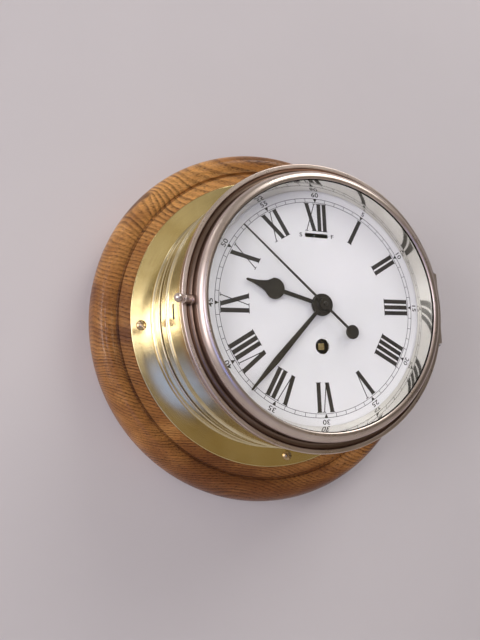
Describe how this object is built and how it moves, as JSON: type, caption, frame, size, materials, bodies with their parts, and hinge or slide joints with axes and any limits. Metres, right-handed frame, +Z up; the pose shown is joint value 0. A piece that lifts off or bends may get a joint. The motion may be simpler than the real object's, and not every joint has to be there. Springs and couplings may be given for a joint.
{
  "type": "wall clock",
  "caption": "Round brass ship's wall clock on a turned oak plinth, with a hinged glazed bezel, slow-fast index, centre seconds hand and a spring-driven platform movement",
  "frame": {"origin": "centre of the plinth's back face, where it meets the wall", "axes": "+X to the right seen from the front, +Y into the wall, +Z up, so the dial faces -Y"},
  "size_m": [0.275, 0.118, 0.275],
  "materials": {
    "oak": "satin lacquer",
    "yellow_brass": "polished",
    "pale_brass": "polished, paler",
    "silvered_brass": "silvered, mirror polished",
    "plate_brass": "brushed",
    "dark_brass": "toned brown",
    "steel": "satin",
    "dial_white": "satin white",
    "hand_black": "dark brown black",
    "clear_glass": "clear"
  },
  "bodies": {
    "case": {"oak_plinth": "oak", "hanger_plate": "steel", "hanger_screw_1": "steel", "hanger_screw_2": "steel", "base_flange": "yellow_brass", "base_collar": "yellow_brass", "flange_screw_1": "dark_brass", "flange_screw_2": "dark_brass", "flange_screw_3": "dark_brass", "flange_screw_4": "dark_brass", "drum": "yellow_brass", "catch_spring": "steel", "dial": "dial_white", "hinge_leaf_case": "yellow_brass", "hinge_pin": "pale_brass", "front_plate": "plate_brass", "back_plate": "plate_brass", "pillar_1": "plate_brass", "pillar_2": "plate_brass", "pillar_3": "plate_brass", "pillar_4": "plate_brass", "pillar_nut_1": "steel", "pillar_nut_2": "steel", "pillar_nut_3": "steel", "pillar_nut_4": "steel", "movement_post_1": "plate_brass", "movement_post_2": "plate_brass", "movement_post_3": "plate_brass", "escapement_platform": "plate_brass", "hairspring": "steel", "balance_cock": "plate_brass"},
    "bezel": {"bezel_ring": "pale_brass", "glass": "clear_glass", "sight_ring": "silvered_brass", "pull_knob": "pale_brass", "hinge_leaf_bezel": "pale_brass"},
    "minute_work": {"minute_hand": "hand_black", "hand_nut": "hand_black", "cannon_pinion": "steel", "centre_wheel": "plate_brass"},
    "hour_work": {"hour_hand": "hand_black", "hour_wheel": "plate_brass"},
    "minute_wheel_work": {"minute_wheel": "plate_brass"},
    "intermediate_work": {"intermediate_wheel": "plate_brass"},
    "barrel_work": {"barrel": "plate_brass", "barrel_cover": "plate_brass", "mainspring": "steel"},
    "third_work": {"third_wheel": "plate_brass"},
    "seconds_work": {"fourth_wheel": "plate_brass", "seconds_hand": "hand_black"},
    "escape_work": {"escape_wheel": "steel"},
    "lever_work": {"pallet_lever": "steel"},
    "balance_work": {"balance_wheel": "plate_brass"},
    "winding_work": {"winding_arbor": "plate_brass", "ratchet_wheel": "steel"},
    "click_work": {"click": "steel"},
    "index_work": {"regulator_index": "steel"}
  },
  "joints": [
    {"name": "bezel_hinge", "type": "hinge", "parent": "case", "child": "bezel", "pos_m": [0.0955, -0.1004, 0], "axis": [0, 0, 1], "range_deg": [0, 110]},
    {"name": "minute_hand_turn", "type": "hinge", "parent": "case", "child": "minute_work", "pos_m": [0, -0.106, 0], "axis": [0, 1, 0], "continuous": true},
    {"name": "hour_hand_turn", "type": "hinge", "parent": "case", "child": "hour_work", "pos_m": [0, -0.1, 0], "axis": [0, 1, 0], "continuous": true},
    {"name": "minute_wheel_turn", "type": "hinge", "parent": "case", "child": "minute_wheel_work", "pos_m": [-0.01222, -0.09, -0.00445], "axis": [0, 1, 0], "continuous": true},
    {"name": "intermediate_turn", "type": "hinge", "parent": "case", "child": "intermediate_work", "pos_m": [0.01642, -0.07, -0.00738], "axis": [0, 1, 0], "continuous": true},
    {"name": "barrel_turn", "type": "hinge", "parent": "case", "child": "barrel_work", "pos_m": [0, -0.07, -0.0265], "axis": [0, 1, 0], "continuous": true},
    {"name": "third_turn", "type": "hinge", "parent": "case", "child": "third_work", "pos_m": [-0.01559, -0.07, 0.009], "axis": [0, 1, 0], "continuous": true},
    {"name": "seconds_hand_turn", "type": "hinge", "parent": "case", "child": "seconds_work", "pos_m": [0, -0.07, 0], "axis": [0, 1, 0], "continuous": true},
    {"name": "escape_turn", "type": "hinge", "parent": "case", "child": "escape_work", "pos_m": [0.01405, -0.07, 0.01125], "axis": [0, 1, 0], "continuous": true},
    {"name": "lever_swing", "type": "hinge", "parent": "case", "child": "lever_work", "pos_m": [0.00881, -0.0915, 0.01676], "axis": [0, 1, 0], "range_deg": [-5, 5]},
    {"name": "balance_swing", "type": "hinge", "parent": "case", "child": "balance_work", "pos_m": [0, -0.095, 0.026], "axis": [0, 1, 0], "range_deg": [-140, 140]},
    {"name": "winding_turn", "type": "hinge", "parent": "case", "child": "winding_work", "pos_m": [0, -0.07, -0.0265], "axis": [0, 1, 0], "range_deg": [0, 2880]},
    {"name": "click_lift", "type": "hinge", "parent": "case", "child": "click_work", "pos_m": [0.007, -0.089, -0.01438], "axis": [0, -1, 0], "range_deg": [0, 12]},
    {"name": "index_swing", "type": "hinge", "parent": "case", "child": "index_work", "pos_m": [0, -0.0995, 0.026], "axis": [0, 1, 0], "range_deg": [-8.6, 19.4]}
  ],
  "couplings": [
    {"joint": "hour_hand_turn", "follows": "minute_hand_turn", "ratio": 0.083333},
    {"joint": "minute_wheel_turn", "follows": "minute_hand_turn", "ratio": -0.33333},
    {"joint": "intermediate_turn", "follows": "minute_hand_turn", "ratio": -0.25},
    {"joint": "barrel_turn", "follows": "minute_hand_turn", "ratio": 0.041667},
    {"joint": "third_turn", "follows": "minute_hand_turn", "ratio": -8},
    {"joint": "seconds_hand_turn", "follows": "minute_hand_turn", "ratio": 60},
    {"joint": "escape_turn", "follows": "minute_hand_turn", "ratio": -600}
  ]
}
